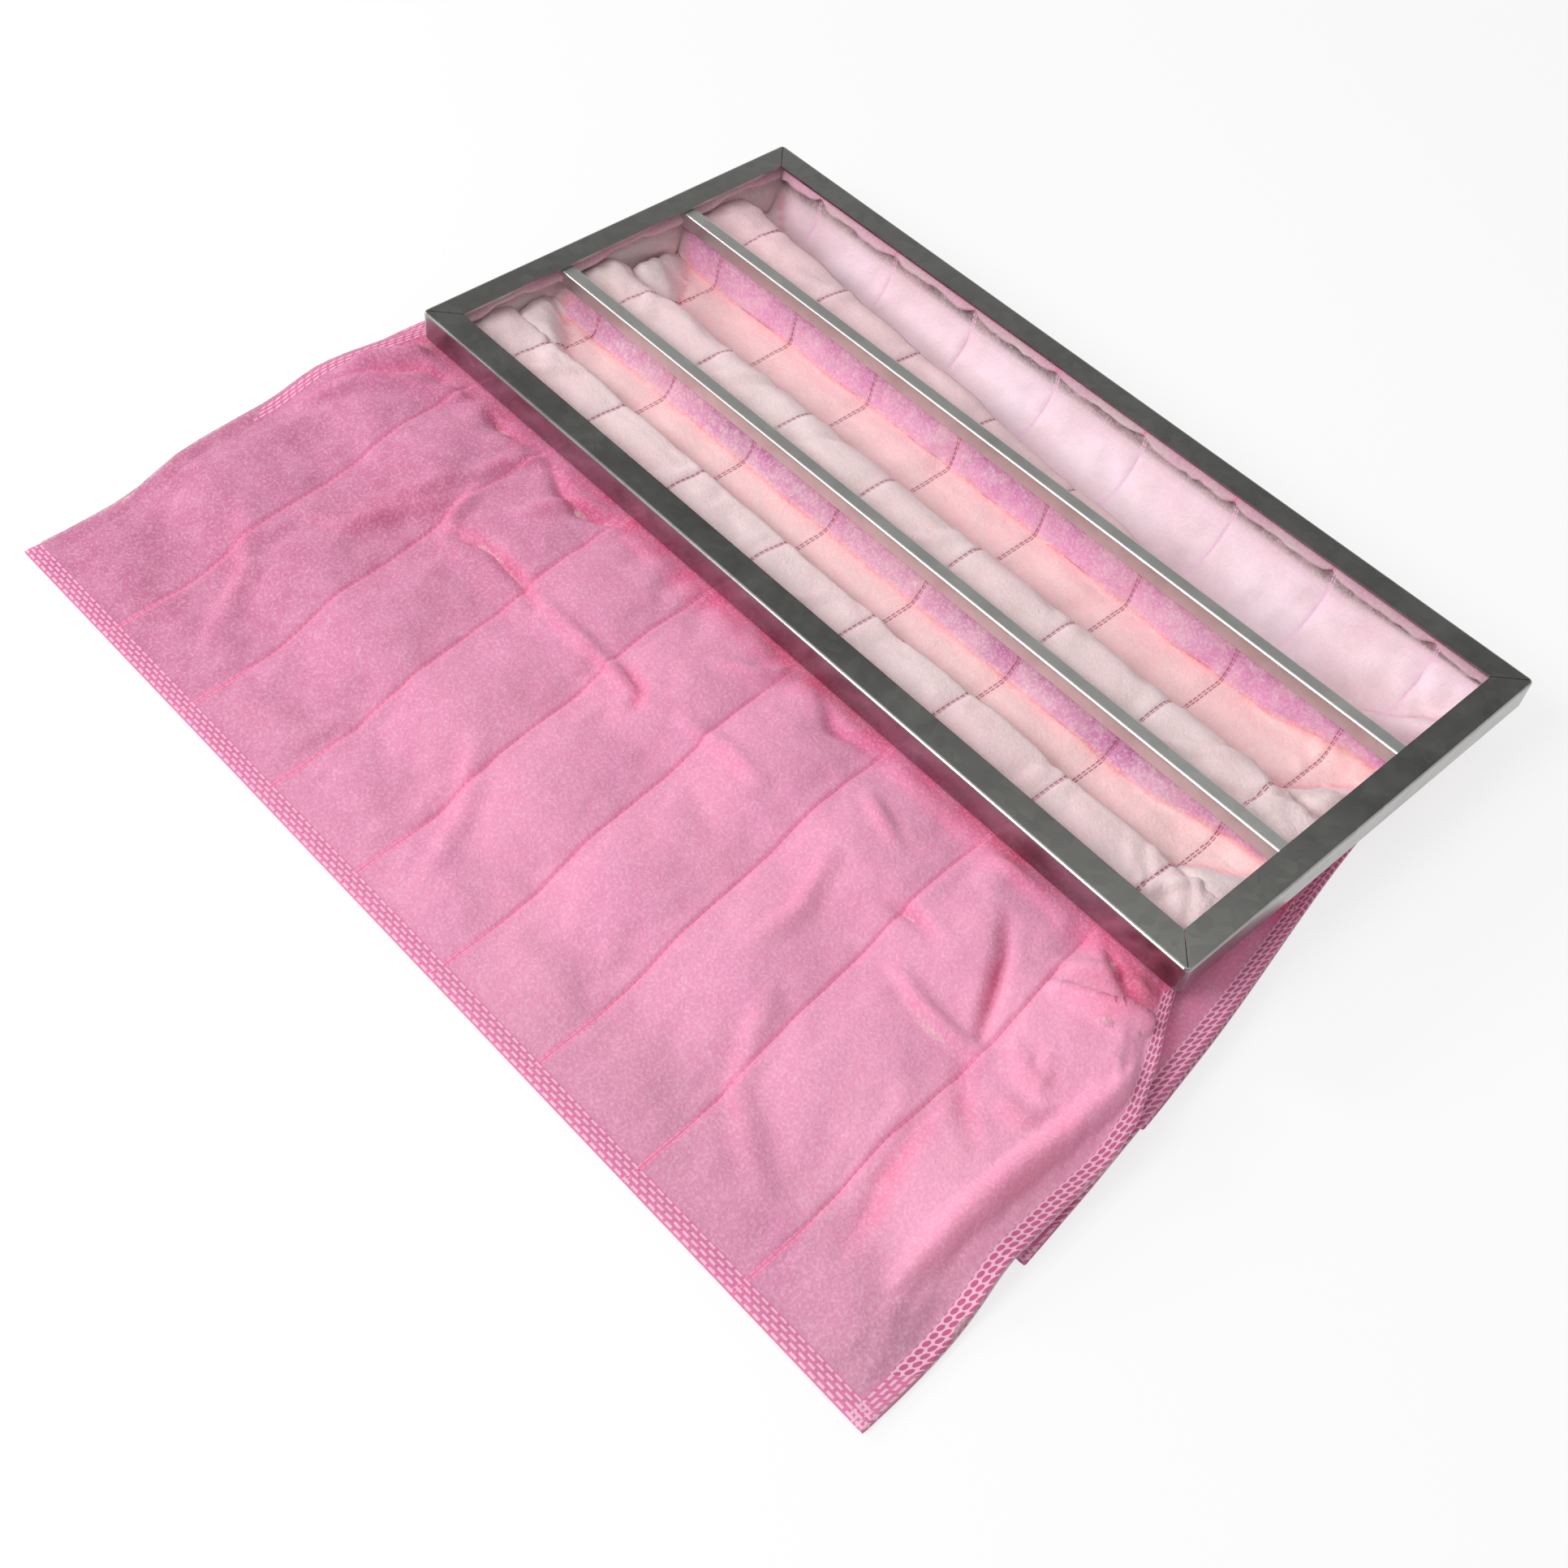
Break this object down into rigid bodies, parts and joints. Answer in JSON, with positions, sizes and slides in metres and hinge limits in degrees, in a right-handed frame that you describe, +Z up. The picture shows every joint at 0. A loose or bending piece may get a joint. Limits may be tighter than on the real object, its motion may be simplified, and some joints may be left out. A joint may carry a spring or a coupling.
{
  "type": "bag air filter",
  "caption": "Flat-lying bag air filter: folded galvanised header, divider bars and soft pink non-woven pockets stitched into columns and folded over to one long side.",
  "frame": {"origin": "middle of the footprint, on the floor it lies on", "axes": "+X along the header's long side, +Y from the folded pockets towards the header, +Z up out of the pocket mouths"},
  "size_m": [0.669, 0.5468, 0.0494],
  "materials": {
    "galvanised_steel": "galvanised, satin with faint spangle",
    "steel_wire": "drawn",
    "pink_nonwoven": "matt felted fibre"
  },
  "bodies": {
    "root": {"header_frame": "galvanised_steel", "divider_far": "galvanised_steel", "divider_near": "galvanised_steel", "mouth_wire_far": "steel_wire", "mouth_wire_middle": "steel_wire", "mouth_wire_near": "steel_wire", "pocket_far": "pink_nonwoven", "pocket_middle": "pink_nonwoven", "pocket_near": "pink_nonwoven"}
  },
  "joints": []
}
